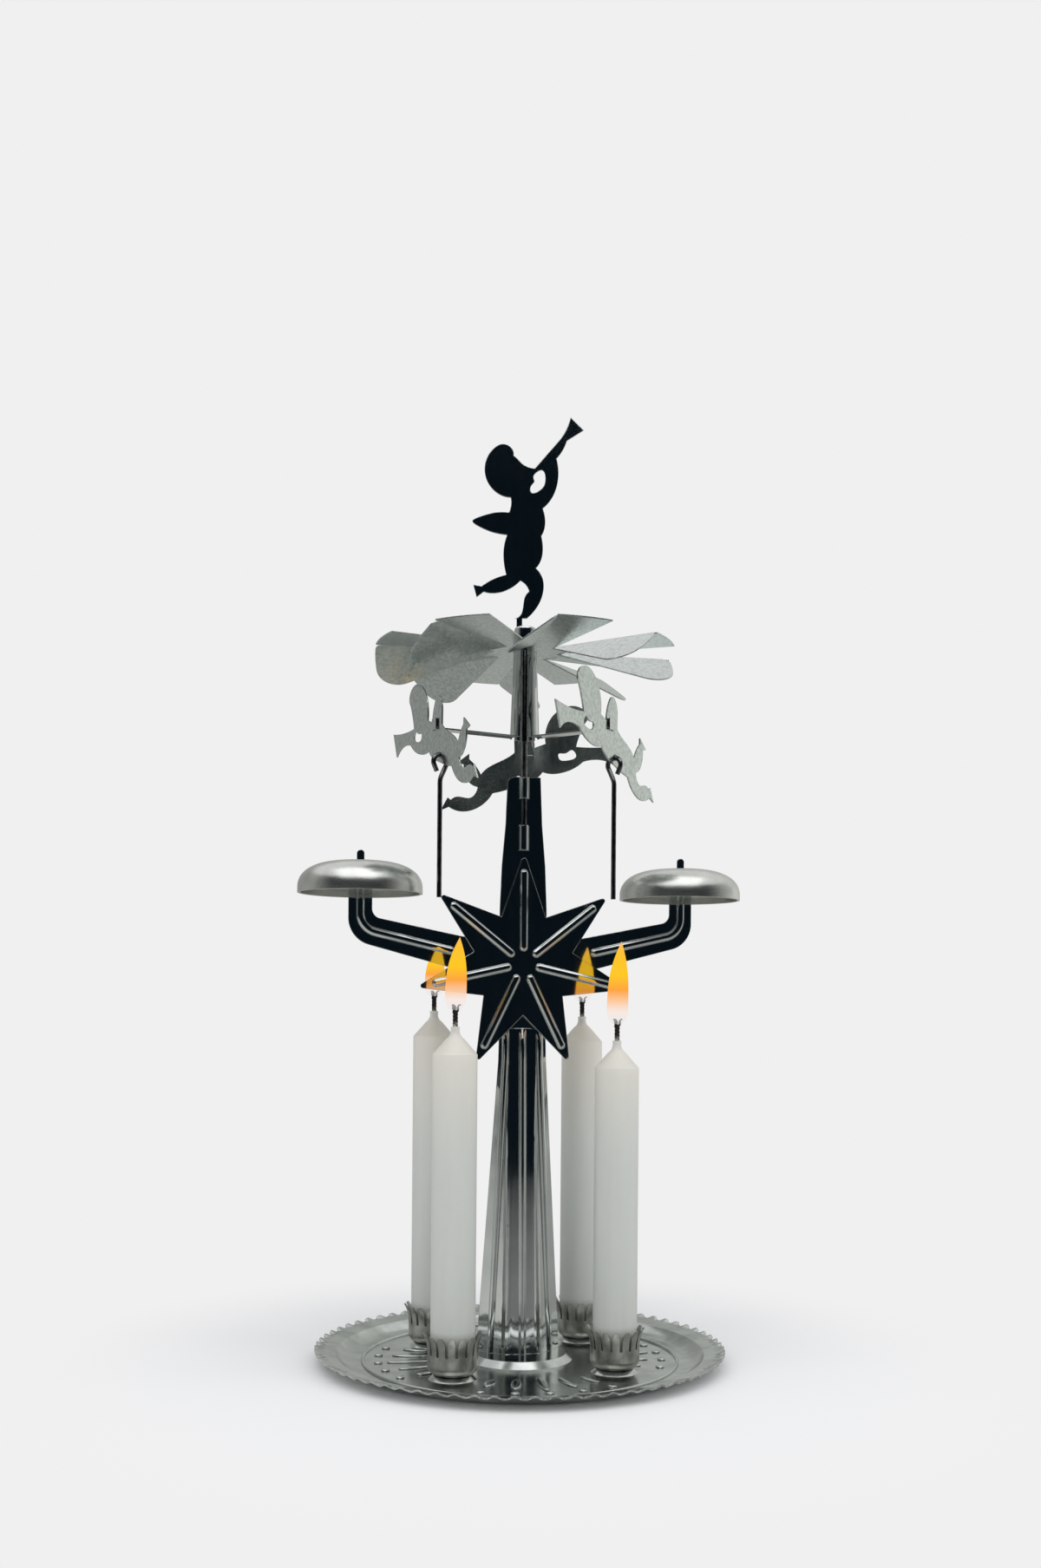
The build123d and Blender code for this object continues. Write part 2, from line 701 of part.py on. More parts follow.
for bell_name, bell_place in {"bell_left": -bell_x, "bell_right": bell_x}.items():
    with BuildPart() as bell:
        with BuildSketch(Plane.XZ.shift_origin((bell_place, 0, 0))):
            with BuildLine():
                Line((bell_r, bell_rim_z), (bell_r, bell_lip_z))
                Bezier(
                    (bell_r, bell_lip_z),
                    (bell_r, bell_top_z - bell_rim_lip),
                    (bell_crown_r + bell_crown_sweep, bell_top_z),
                    (bell_crown_r, bell_top_z),
                )
                Polyline(
                    (bell_crown_r, bell_top_z),
                    (bell_hole_r, bell_top_z),
                    (bell_hole_r, bell_top_z - bell_wall),
                    (bell_crown_r, bell_top_z - bell_wall),
                )
                Bezier(
                    (bell_crown_r, bell_top_z - bell_wall),
                    (bell_crown_r + bell_crown_sweep, bell_top_z - bell_wall),
                    (bell_in_r, bell_top_z - bell_wall - bell_rim_lip),
                    (bell_in_r, bell_lip_z),
                )
                Polyline((bell_in_r, bell_lip_z), (bell_in_r, bell_rim_z), (bell_r, bell_rim_z))
            make_face()
        revolve(axis=Axis((bell_place, 0, 0), (0, 0, 1)))
    bell.part.label = bell_name
    export_step(bell.part, f"parts/{bell_name}.step")

# Carrier: tapered hub of three legs under a closed cap, dimpled for the needle. Each leg turns out into a
# flat arm whose narrow tongue goes through a figure's slot and is bent up behind it.
striker_r = bell_x - bell_r - striker_d / 2 - striker_pass
figure_r = sqrt(striker_r**2 - striker_hole_x**2)
figure_out_r = figure_r + figure_sheet / 2
tongue_in_r = figure_out_r + slot_gap
tongue_out_r = tongue_in_r + carrier_sheet
arm_stop_r = figure_r - figure_sheet / 2 - slot_gap
cap_low_z = carrier_top_z - carrier_sheet
arm_top_z = carrier_arm_z + carrier_sheet
arm_azimuths = [arm_azimuth + 360 / carrier_arms * number for number in range(carrier_arms)]
top_tab_slot_w = top_tab_w + 2 * slot_gap
top_tab_slot_t = figure_sheet + 2 * slot_gap
top_plane = Plane(
    (0, 0, carrier_top_z + top_figure_lift),
    (cos(radians(top_figure_azimuth)), sin(radians(top_figure_azimuth)), 0),
    (sin(radians(top_figure_azimuth)), -cos(radians(top_figure_azimuth)), 0),
)
cap_plane = Plane((0, 0, cap_low_z), top_plane.x_dir, (0, 0, 1))

with BuildPart() as carrier:
    with BuildSketch(Plane.XZ):
        with BuildLine():
            Polyline(
                (carrier_low_r, carrier_arm_z),
                (carrier_top_r, carrier_top_z),
                (0, carrier_top_z),
                (0, cap_low_z),
                (carrier_top_r - carrier_sheet, cap_low_z),
                (carrier_low_r - carrier_sheet, carrier_arm_z),
                close=True,
            )
        make_face()
    revolve(axis=Axis.Z)
    fillet(carrier.edges().group_by(Axis.Z)[-1], carrier_corner)
    for azimuth in arm_azimuths:
        leg_plane = radial_plane(azimuth + 180 / carrier_arms, 0, 0, 0)
        with BuildSketch(leg_plane):
            with Locations((0, carrier_arm_z)):
                Rectangle(
                    carrier_slit_w,
                    carrier_slit_top_z - carrier_arm_z,
                    align=(Align.CENTER, Align.MIN),
                )
        extrude(amount=2 * carrier_low_r, mode=Mode.SUBTRACT)
        with BuildSketch(radial_plane(azimuth, carrier_low_r - carrier_sheet, 0, 0)):
            with Locations((0, carrier_arm_z)):
                Rectangle(arm_w, carrier_sheet, align=(Align.CENTER, Align.MIN))
        extrude(amount=arm_stop_r - carrier_low_r + carrier_sheet)
        with BuildSketch(radial_plane(azimuth, arm_stop_r - carrier_sheet, 0, 0)):
            with Locations((0, carrier_arm_z)):
                Rectangle(tongue_w, carrier_sheet, align=(Align.CENTER, Align.MIN))
        extrude(amount=tongue_out_r - arm_stop_r + carrier_sheet)
        with BuildSketch(radial_plane(azimuth, tongue_in_r, 0, 0)):
            with Locations((0, carrier_arm_z)):
                Rectangle(tongue_w, tongue_up, align=(Align.CENTER, Align.MIN))
        extrude(amount=carrier_sheet)
    with BuildSketch(cap_plane):
        with Locations((top_tab_x, 0)):
            Rectangle(top_tab_slot_w, top_tab_slot_t)
    extrude(amount=2 * carrier_sheet, mode=Mode.SUBTRACT)
    with BuildSketch(Plane.XZ):
        with BuildLine():
            Polyline(
                (0, cap_low_z),
                (dimple_depth, cap_low_z),
                (needle_point_d / 2 + needle_fit, cap_low_z + dimple_depth / 2),
                (0, cap_low_z + dimple_depth / 2),
                close=True,
            )
        make_face()
    revolve(axis=Axis.Z, mode=Mode.SUBTRACT)
carrier.part.label = "carrier"
export_step(carrier.part, "parts/carrier.step")

# Fan: one disc pressed down over the hub's taper. Blades are cut free along the rim and one side and
# folded down about a radius, which leaves a flat spoke beside each.
hub_slope = (carrier_low_r - carrier_top_r) / (carrier_top_z - carrier_arm_z)
fan_hole_r = carrier_low_r - hub_slope * (fan_z - carrier_arm_z) + seat_gap
span = radians(blade_span)

with BuildPart() as blade:
    with BuildSketch(Plane.XY) as blade_face:
        with BuildLine():
            Line((fan_fold_r, 0), (fan_r, 0))
            ThreePointArc(
                (fan_r, 0),
                (fan_r * cos(span / 2), -fan_r * sin(span / 2)),
                (fan_r * cos(span), -fan_r * sin(span)),
            )
            Line((fan_r * cos(span), -fan_r * sin(span)), (fan_fold_r, 0))
        make_face()
        fillet(blade_face.vertices().sort_by(Axis.Y)[0], blade_corner)
        fillet(blade_face.vertices().sort_by(Axis.X)[-1], blade_round)
    extrude(amount=fan_sheet)
    with BuildSketch(Plane.XY):
        with Locations((fan_fold_r, 0)):
            Rectangle(fan_r - fan_fold_r - blade_round, fan_sheet, align=(Align.MIN, Align.MIN))
    extrude(amount=fan_sheet)

with BuildPart() as fan_window:
    with BuildSketch(Plane.XY):
        with BuildLine():
            Polyline(
                (fan_fold_r, 0),
                (2 * fan_r, 0),
                (2 * fan_r, -2 * fan_r * tan(span)),
                (fan_r * cos(span), -fan_r * sin(span)),
                close=True,
            )
        make_face()
    extrude(amount=fan_sheet)

with BuildPart() as fan:
    with BuildSketch(Plane.XY):
        Circle(fan_r)
        Circle(fan_hole_r, mode=Mode.SUBTRACT)
    extrude(amount=fan_sheet)
    with PolarLocations(0, fan_blades):
        add(fan_window.part, mode=Mode.SUBTRACT)
    with PolarLocations(0, fan_blades):
        add(blade.part.rotate(Axis.X, blade_pitch))
placed_fan = fan.part.moved(Location((0, 0, fan_z)))
placed_fan.label = "fan"
export_step(placed_fan, "parts/fan.step")

# Flying figures: cut from flat sheet, slotted for the arm's tongue, with a hole for the striker. Each
# faces clockwise, the way that the fan turns.
flyer_scale = figure_length / figure_drawn_length
striker_hole_r = striker_d / 2 + hang_gap
figure_slot_h = carrier_sheet + 2 * slot_gap
figure_slot_w = tongue_w + 2 * slot_gap
figure_slot_z = carrier_arm_z + carrier_sheet / 2
eye_turn = radians(eye_taper)
eye_side_x = eye_r * cos(eye_turn)
eye_side_z = -eye_r - eye_r * sin(eye_turn)
eye_leg = (eye_side_x - eye_bend_r * (1 - cos(eye_turn))) / sin(eye_turn)
eye_leg_x = -eye_side_x + eye_leg * sin(eye_turn)
eye_leg_z = eye_side_z - eye_leg * cos(eye_turn)
shank_z = eye_leg_z - eye_bend_r * sin(eye_turn)
tail_x = eye_side_x - eye_tail * sin(eye_turn)
tail_z = eye_side_z - eye_tail * cos(eye_turn)

for number, azimuth in enumerate(arm_azimuths, start=1):
    figure_plane = radial_plane(azimuth, figure_r, 0, figure_slot_z)
    with BuildPart() as flyer:
        with BuildSketch(figure_plane):
            with BuildLine():
                add_outline(flyer_runs, flyer_scale)
            make_face()
            with BuildLine():
                add_gap(flyer_arm_gap, flyer_scale)
            make_face(mode=Mode.SUBTRACT)
            Rectangle(figure_slot_w, figure_slot_h, mode=Mode.SUBTRACT)
            with Locations((striker_hole_x, striker_hole_z)):
                Circle(striker_hole_r, mode=Mode.SUBTRACT)
        extrude(amount=figure_sheet / 2, both=True)
    flyer.part.label = f"flying_figure_{number}"
    export_step(flyer.part, f"parts/flying_figure_{number}.step")

    # Striker: an open eye bent in the end of a wire, hung through the figure's hole. The eye's round top
    # lies on a circle, so the wire slides through the hole as the striker swings in and out.
    hole_spot = figure_plane.from_local_coords((striker_hole_x, striker_hole_z, 0))
    eye_plane = Plane(hole_spot, figure_plane.z_dir, -figure_plane.x_dir)
    with BuildPart() as striker:
        with BuildLine(eye_plane) as striker_line:
            Line((tail_x, tail_z), (eye_side_x, eye_side_z))
            ThreePointArc((eye_side_x, eye_side_z), (0, 0), (-eye_side_x, eye_side_z))
            Line((-eye_side_x, eye_side_z), (eye_leg_x, eye_leg_z))
            JernArc((eye_leg_x, eye_leg_z), (sin(eye_turn), -cos(eye_turn)), eye_bend_r, -eye_taper)
            Line((0, shank_z), (0, striker_d / 2 - striker_length))
        with BuildSketch(Plane(striker_line.line @ 0, z_dir=striker_line.line % 0)):
            Circle(striker_d / 2)
        sweep(path=striker_line.line)
    striker.part.label = f"striker_{number}"
    export_step(striker.part, f"parts/striker_{number}.step")

# Top figure: cut from the same sheet. A short stem under the sole ends in a tab through the hub's cap.
top_scale = top_figure_height / top_figure_drawn_height

with BuildPart() as top_figure:
    with BuildSketch(top_plane):
        with BuildLine():
            add_outline(top_runs, top_scale)
        make_face()
        with BuildLine():
            add_gap(top_arm_gap, top_scale)
        make_face(mode=Mode.SUBTRACT)
        with Locations((top_tab_x, 0)):
            Rectangle(top_tab_w, top_figure_lift + top_tab_depth, align=(Align.CENTER, Align.MAX))
    extrude(amount=figure_sheet / 2, both=True)
top_figure.part.label = "top_figure"
export_step(top_figure.part, "parts/top_figure.step")
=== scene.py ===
from math import atan2, cos, hypot, pi, radians, sin, sqrt
import bmesh
import bpy
from mathutils import Euler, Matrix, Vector


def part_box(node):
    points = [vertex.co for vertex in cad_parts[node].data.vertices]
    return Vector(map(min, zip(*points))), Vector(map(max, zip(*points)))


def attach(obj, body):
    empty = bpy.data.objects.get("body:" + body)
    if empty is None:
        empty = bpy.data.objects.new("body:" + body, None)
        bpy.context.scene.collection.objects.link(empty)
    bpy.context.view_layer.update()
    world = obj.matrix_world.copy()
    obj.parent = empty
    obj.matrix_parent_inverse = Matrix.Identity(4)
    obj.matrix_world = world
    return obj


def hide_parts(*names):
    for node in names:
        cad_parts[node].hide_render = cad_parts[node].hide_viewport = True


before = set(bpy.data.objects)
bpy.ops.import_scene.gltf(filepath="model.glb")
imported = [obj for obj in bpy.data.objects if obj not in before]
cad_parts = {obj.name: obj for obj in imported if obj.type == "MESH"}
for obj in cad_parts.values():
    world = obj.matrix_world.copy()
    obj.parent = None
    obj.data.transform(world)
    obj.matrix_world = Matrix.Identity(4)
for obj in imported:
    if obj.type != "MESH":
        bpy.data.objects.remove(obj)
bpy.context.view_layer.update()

# Studio: a plain pale floor that fades into an equally pale surround, three soft lamps and the camera.
# Nothing of it belongs to the object.
scene = bpy.context.scene
scene.view_settings.view_transform = "Standard"
BACKDROP = (0.871, 0.871, 0.871, 1.0)
FLOOR_HALF = 6.0
FLOOR_FADE_START = 0.070
FLOOR_FADE_END = 0.165

world = bpy.data.worlds.new("studio_surround")
scene.world = world
world.use_nodes = True
tree = world.node_tree
path = tree.nodes.new("ShaderNodeLightPath")
seen = tree.nodes.new("ShaderNodeMath")
seen.operation = "MAXIMUM"
seen_again = tree.nodes.new("ShaderNodeMath")
seen_again.operation = "MAXIMUM"
fill = tree.nodes["Background"]
fill.inputs["Color"].default_value = (0.95, 0.97, 1.0, 1.0)
fill.inputs["Strength"].default_value = 0.54
backdrop = tree.nodes.new("ShaderNodeBackground")
backdrop.inputs["Color"].default_value = BACKDROP
mix = tree.nodes.new("ShaderNodeMixShader")
tree.links.new(path.outputs["Is Camera Ray"], seen.inputs[0])
tree.links.new(path.outputs["Is Glossy Ray"], seen.inputs[1])
tree.links.new(seen.outputs[0], seen_again.inputs[0])
tree.links.new(path.outputs["Is Transmission Ray"], seen_again.inputs[1])
tree.links.new(seen_again.outputs[0], mix.inputs["Fac"])
tree.links.new(fill.outputs[0], mix.inputs[1])
tree.links.new(backdrop.outputs[0], mix.inputs[2])
tree.links.new(mix.outputs[0], tree.nodes["World Output"].inputs["Surface"])

floor_mesh = bpy.data.meshes.new("floor")
floor_corners = [(FLOOR_HALF * x, FLOOR_HALF * y, 0.0) for x, y in ((-1, -1), (1, -1), (1, 1), (-1, 1))]
floor_mesh.from_pydata(floor_corners, [], [(0, 1, 2, 3)])
floor = bpy.data.objects.new("floor", floor_mesh)
scene.collection.objects.link(floor)
paper = bpy.data.materials.new("floor_paper")
paper.use_nodes = True
tree = paper.node_tree
bsdf = tree.nodes["Principled BSDF"]
bsdf.inputs["Base Color"].default_value = (0.94, 0.94, 0.94, 1.0)
bsdf.inputs["Roughness"].default_value = 0.9
bsdf.inputs["Specular IOR Level"].default_value = 0.0
glow = tree.nodes.new("ShaderNodeEmission")
glow.inputs["Color"].default_value = BACKDROP
where = tree.nodes.new("ShaderNodeTexCoord")
reach = tree.nodes.new("ShaderNodeVectorMath")
reach.operation = "LENGTH"
fade = tree.nodes.new("ShaderNodeMapRange")
fade.interpolation_type = "SMOOTHSTEP"
fade.inputs["From Min"].default_value = FLOOR_FADE_START
fade.inputs["From Max"].default_value = FLOOR_FADE_END
mix = tree.nodes.new("ShaderNodeMixShader")
tree.links.new(where.outputs["Object"], reach.inputs[0])
tree.links.new(reach.outputs["Value"], fade.inputs["Value"])
tree.links.new(fade.outputs["Result"], mix.inputs["Fac"])
tree.links.new(bsdf.outputs[0], mix.inputs[1])
tree.links.new(glow.outputs[0], mix.inputs[2])
tree.links.new(mix.outputs[0], tree.nodes["Material Output"].inputs["Surface"])
floor_mesh.materials.append(paper)


def soft_lamp(name, place, aim, size, power, in_mirrors):
    """Hangs a square soft lamp at a place and points it at the aim. It may be kept out of mirrors."""
    data = bpy.data.lights.new(name, "AREA")
    data.size = size
    data.energy = power
    lamp = bpy.data.objects.new(name, data)
    lamp.location = place
    lamp.rotation_euler = (Vector(aim) - Vector(place)).to_track_quat("-Z", "Y").to_euler()
    lamp.visible_glossy = in_mirrors
    scene.collection.objects.link(lamp)


MIDDLE = (0.0, 0.0, 0.14)
soft_lamp("lamp_left", (-0.75, -0.45, 0.65), MIDDLE, size=0.8, power=1.9, in_mirrors=False)
soft_lamp("lamp_right", (0.72, -0.52, 0.60), MIDDLE, size=0.8, power=2.6, in_mirrors=False)
soft_lamp("lamp_top", (-0.10, -0.45, 1.0), MIDDLE, size=1.2, power=4.0, in_mirrors=True)

CAMERA_DISTANCE = 0.4709
CAMERA_HEIGHT = 0.11036
CAMERA_YAW = radians(11.415)
CAMERA_ROLL = radians(0.45)
camera_data = bpy.data.cameras.new("camera")
camera_data.sensor_fit = "AUTO"
camera_data.sensor_width = 36.0
camera_data.lens = 34.39
camera_data.shift_x = -0.0012
camera_data.shift_y = 0.143
camera_data.clip_start = 0.01
camera = bpy.data.objects.new("camera", camera_data)
camera.location = (-CAMERA_DISTANCE * sin(CAMERA_YAW), -CAMERA_DISTANCE * cos(CAMERA_YAW), CAMERA_HEIGHT)
level_view = Euler((pi / 2, 0, -CAMERA_YAW)).to_matrix()
camera.rotation_euler = (level_view @ Euler((0, 0, CAMERA_ROLL)).to_matrix()).to_euler()
scene.collection.objects.link(camera)
scene.camera = camera

# Room round the object: a table top and a curved wall that only mirror rays meet, in broad streaks of shade.
# The wall is black straight behind the camera, and the bright sheet reads as black because it shows it.
# Each shade row has a turn from the camera's side in degrees, the table's shade there and the wall's.
ROOM_R = 1.4
ROOM_TOP = 1.15
TABLE_R = 0.07
TABLE_Z = 0.0005
ROOM_PROFILE = ((TABLE_R, TABLE_Z), (ROOM_R, TABLE_Z), (ROOM_R, ROOM_TOP))
ROOM_SHADES = (
    (-180, 0.36, 0.50), (-150, 0.38, 0.40), (-120, 0.42, 0.36), (-95, 0.48, 0.46), (-70, 0.66, 0.20),
    (-50, 0.74, 0.00), (-25, 0.46, 0.00), (0, 0.22, 0.00), (25, 0.26, 0.00), (38, 0.62, 0.00),
    (50, 0.28, 0.00), (70, 0.52, 0.16), (90, 0.34, 0.46), (105, 0.36, 0.62), (120, 0.36, 0.86),
    (150, 0.36, 0.66), (180, 0.36, 0.50),
)
room_mesh = bpy.data.meshes.new("dark_room")
room_points = []
room_shades = []
for room_r, room_z in ROOM_PROFILE:
    for turn, table_shade, wall_shade in ROOM_SHADES:
        room_turn = radians(turn - 90) - CAMERA_YAW
        room_points.append((room_r * cos(room_turn), room_r * sin(room_turn), room_z))
        room_shades.append(table_shade if room_r < ROOM_R else wall_shade)
room_count = len(ROOM_SHADES)
room_faces = []
for corner in range(len(room_points) - room_count):
    if corner % room_count < room_count - 1:
        room_faces.append((corner, corner + 1, corner + room_count + 1, corner + room_count))
room_mesh.from_pydata(room_points, [], room_faces)
room_shade = room_mesh.attributes.new("shade", "FLOAT", "POINT")
for entry, value in zip(room_shade.data, room_shades):
    entry.value = value
room_light = bpy.data.materials.new("dark_room")
room_light.use_nodes = True
tree = room_light.node_tree
tree.nodes.remove(tree.nodes["Principled BSDF"])
shade = tree.nodes.new("ShaderNodeAttribute")
shade.attribute_name = "shade"
tone = tree.nodes.new("ShaderNodeValToRGB")
tone.color_ramp.elements[0].color = (0.003, 0.007, 0.011, 1)
tone.color_ramp.elements[1].color = (0.94, 0.955, 0.91, 1)
glow = tree.nodes.new("ShaderNodeEmission")
tree.links.new(shade.outputs["Fac"], tone.inputs["Fac"])
tree.links.new(tone.outputs["Color"], glow.inputs["Color"])
tree.links.new(glow.outputs[0], tree.nodes["Material Output"].inputs["Surface"])
room_mesh.materials.append(room_light)
dark_room = bpy.data.objects.new("dark_room", room_mesh)
scene.collection.objects.link(dark_room)
dark_room.visible_camera = False
dark_room.visible_diffuse = False
dark_room.visible_shadow = False
dark_room.visible_transmission = False
dark_room.visible_volume_scatter = False

# Drip tray: tinplate pressed in one stroke, with a raised middle, a dished wall and a scalloped rim that
# waves up at each lobe. It stands flat on the table.


def plated_metal(name, bright, dull, grain, rough_low, rough_high, stretch, wave):
    """Plated sheet: clouded colour, roughness streaked along a stretch, a slight wave and eased edges."""
    metal = bpy.data.materials.new(name)
    metal.use_nodes = True
    tree = metal.node_tree
    bsdf = tree.nodes["Principled BSDF"]
    bsdf.inputs["Metallic"].default_value = 1.0
    coords = tree.nodes.new("ShaderNodeTexCoord")
    cloud = tree.nodes.new("ShaderNodeTexNoise")
    cloud.inputs["Scale"].default_value = grain
    cloud.inputs["Detail"].default_value = 5.0
    tone = tree.nodes.new("ShaderNodeValToRGB")
    tone.color_ramp.elements[0].position = 0.34
    tone.color_ramp.elements[0].color = dull
    tone.color_ramp.elements[1].position = 0.62
    tone.color_ramp.elements[1].color = bright
    turn = tree.nodes.new("ShaderNodeMapping")
    turn.inputs["Scale"].default_value = stretch
    streak = tree.nodes.new("ShaderNodeTexNoise")
    streak.inputs["Scale"].default_value = 1.0
    streak.inputs["Detail"].default_value = 4.0
    rough = tree.nodes.new("ShaderNodeMapRange")
    rough.inputs["To Min"].default_value = rough_low
    rough.inputs["To Max"].default_value = rough_high
    ripple = tree.nodes.new("ShaderNodeTexNoise")
    ripple.inputs["Scale"].default_value = 60.0
    eased = tree.nodes.new("ShaderNodeBevel")
    eased.inputs["Radius"].default_value = 0.0003
    bump = tree.nodes.new("ShaderNodeBump")
    bump.inputs["Strength"].default_value = wave
    bump.inputs["Distance"].default_value = 0.001
    for texture in (cloud, ripple):
        tree.links.new(coords.outputs["Object"], texture.inputs["Vector"])
    tree.links.new(coords.outputs["Object"], turn.inputs["Vector"])
    tree.links.new(turn.outputs["Vector"], streak.inputs["Vector"])
    tree.links.new(cloud.outputs["Fac"], tone.inputs["Fac"])
    tree.links.new(tone.outputs["Color"], bsdf.inputs["Base Color"])
    tree.links.new(streak.outputs["Fac"], rough.inputs["Value"])
    tree.links.new(rough.outputs["Result"], bsdf.inputs["Roughness"])
    tree.links.new(ripple.outputs["Fac"], bump.inputs["Height"])
    tree.links.new(eased.outputs["Normal"], bump.inputs["Normal"])
    tree.links.new(bump.outputs["Normal"], bsdf.inputs["Normal"])
    return metal


MERGE_REACH = 2e-6


def smooth_copy(node, sharp_edge):
    """Copy of a piece with its triangles joined and shaded smooth up to the given edge angle."""
    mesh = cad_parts[node].data.copy()
    mesh.materials.clear()
    if "custom_normal" in mesh.attributes:
        mesh.attributes.remove(mesh.attributes["custom_normal"])
    shape = bmesh.new()
    shape.from_mesh(mesh)
    bmesh.ops.remove_doubles(shape, verts=shape.verts, dist=MERGE_REACH)
    for face in shape.faces:
        face.smooth = True
    for edge in shape.edges:
        edge.smooth = len(edge.link_faces) == 2 and edge.calc_face_angle(0.0) < radians(sharp_edge)
    shape.to_mesh(mesh)
    shape.free()
    piece = bpy.data.objects.new(node + "_piece", mesh)
    scene.collection.objects.link(piece)
    return piece


def dress(piece, material, body, slot, *nodes):
    """Gives a finished piece its material and body, and hides the nodes that it stands for. The slot is not
    used.
    """
    if not piece.data.materials:
        piece.data.materials.append(material)
    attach(piece, body)
    if nodes:
        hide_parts(*nodes)


tinplate = plated_metal(
    "tinplate", bright=(0.57, 0.60, 0.58, 1), dull=(0.43, 0.455, 0.44, 1),
    grain=140, rough_low=0.12, rough_high=0.26, stretch=(90, 90, 90), wave=0.10,
)
RIM_LOBES = 72
RIM_IN_R = 0.0575
RIM_OUT_R = 0.0640
RIM_WAVE = 0.00042
tray_piece = smooth_copy("tray", sharp_edge=30)
for corner in tray_piece.data.vertices:
    lobe_turn = RIM_LOBES * atan2(corner.co.y, corner.co.x)
    rim_share = (hypot(corner.co.x, corner.co.y) - RIM_IN_R) / (RIM_OUT_R - RIM_IN_R)
    corner.co.z -= RIM_WAVE * max(rim_share, 0.0) * cos(lobe_turn)
dress(tray_piece, tinplate, "stand", "tinplate", "tray")

# Floor relief: four fans of petals between the cups, a dot beyond each tip, and a plain bead ring inside
# the wall. The press raises them in the tray's own sheet.


def new_tree(name, *inputs):
    """Starts a Geometry Nodes tree with named inputs. Returns it with its input and output nodes."""
    tree = bpy.data.node_groups.new(name, "GeometryNodeTree")
    tree.interface.new_socket("Geometry", in_out="OUTPUT", socket_type="NodeSocketGeometry")
    tree.interface.new_socket("Geometry", in_out="INPUT", socket_type="NodeSocketGeometry")
    for label, kind in inputs:
        tree.interface.new_socket(label, in_out="INPUT", socket_type="NodeSocket" + kind)
    return tree, tree.nodes.new("NodeGroupInput"), tree.nodes.new("NodeGroupOutput")


def finish_tree(tree, source, given, output):
    """Ends a tree in real geometry that carries the material input."""
    real = tree.nodes.new("GeometryNodeRealizeInstances")
    painted = tree.nodes.new("GeometryNodeSetMaterial")
    shade = tree.nodes.new("GeometryNodeSetShadeSmooth")
    tree.links.new(source, real.inputs["Geometry"])
    tree.links.new(real.outputs["Geometry"], shade.inputs["Geometry"])
    tree.links.new(shade.outputs["Geometry"], painted.inputs["Geometry"])
    tree.links.new(given.outputs["Material"], painted.inputs["Material"])
    tree.links.new(painted.outputs["Geometry"], output.inputs["Geometry"])


def grow(name, tree, seed, values):
    """Runs a tree on a seed mesh with the given inputs and returns the result as a plain piece."""
    piece = bpy.data.objects.new(name, seed)
    scene.collection.objects.link(piece)
    growth = piece.modifiers.new("growth", "NODES")
    growth.node_group = tree
    for socket in tree.interface.items_tree:
        if socket.in_out == "INPUT" and socket.name in values:
            growth[socket.identifier] = values[socket.name]
    grown = piece.evaluated_get(bpy.context.evaluated_depsgraph_get())
    mesh = bpy.data.meshes.new_from_object(grown)
    piece.modifiers.clear()
    piece.data = mesh
    return piece


RELIEF_Z = 0.0007
FANS = 4
PETAL_TURNS = (-26, -13, 0, 13, 26)
PETAL_FADE = 60
PETAL_MIDDLE = 0.0345
DOT_RING = 0.0445
DOT_SHARE = (0.18, 0.8, 1.0)
relief_tree, given, output = new_tree(
    "floor_relief",
    ("Petal Size", "Vector"), ("Ring Radius", "Float"), ("Bead Radius", "Float"), ("Height", "Float"),
    ("Material", "Material"),
)
ball = relief_tree.nodes.new("GeometryNodeMeshUVSphere")
ball.inputs["Segments"].default_value = 16
ball.inputs["Rings"].default_value = 10
petal = relief_tree.nodes.new("GeometryNodeTransform")
share = relief_tree.nodes.new("GeometryNodeInputNamedAttribute")
share.data_type = "FLOAT_VECTOR"
share.inputs["Name"].default_value = "share"
place = relief_tree.nodes.new("GeometryNodeInstanceOnPoints")
spot_vector = relief_tree.nodes.new("GeometryNodeInputPosition")
outward = relief_tree.nodes.new("FunctionNodeAlignRotationToVector")
outward.axis = "X"
bead_path = relief_tree.nodes.new("GeometryNodeCurvePrimitiveCircle")
bead_path.inputs["Resolution"].default_value = 128
bead_round = relief_tree.nodes.new("GeometryNodeCurvePrimitiveCircle")
bead_round.inputs["Resolution"].default_value = 10
bead = relief_tree.nodes.new("GeometryNodeCurveToMesh")
joined = relief_tree.nodes.new("GeometryNodeJoinGeometry")
raised = relief_tree.nodes.new("ShaderNodeCombineXYZ")
lifted = relief_tree.nodes.new("GeometryNodeTransform")
relief_tree.links.new(ball.outputs["Mesh"], petal.inputs["Geometry"])
relief_tree.links.new(given.outputs["Petal Size"], petal.inputs["Scale"])
relief_tree.links.new(given.outputs["Geometry"], place.inputs["Points"])
relief_tree.links.new(petal.outputs["Geometry"], place.inputs["Instance"])
relief_tree.links.new(spot_vector.outputs["Position"], outward.inputs["Vector"])
relief_tree.links.new(outward.outputs["Rotation"], place.inputs["Rotation"])
relief_tree.links.new(share.outputs["Attribute"], place.inputs["Scale"])
relief_tree.links.new(given.outputs["Ring Radius"], bead_path.inputs["Radius"])
relief_tree.links.new(given.outputs["Bead Radius"], bead_round.inputs["Radius"])
relief_tree.links.new(bead_path.outputs["Curve"], bead.inputs["Curve"])
relief_tree.links.new(bead_round.outputs["Curve"], bead.inputs["Profile Curve"])
relief_tree.links.new(place.outputs["Instances"], joined.inputs["Geometry"])
relief_tree.links.new(bead.outputs["Mesh"], joined.inputs["Geometry"])
relief_tree.links.new(given.outputs["Height"], raised.inputs["Z"])
relief_tree.links.new(joined.outputs["Geometry"], lifted.inputs["Geometry"])
relief_tree.links.new(raised.outputs["Vector"], lifted.inputs["Translation"])
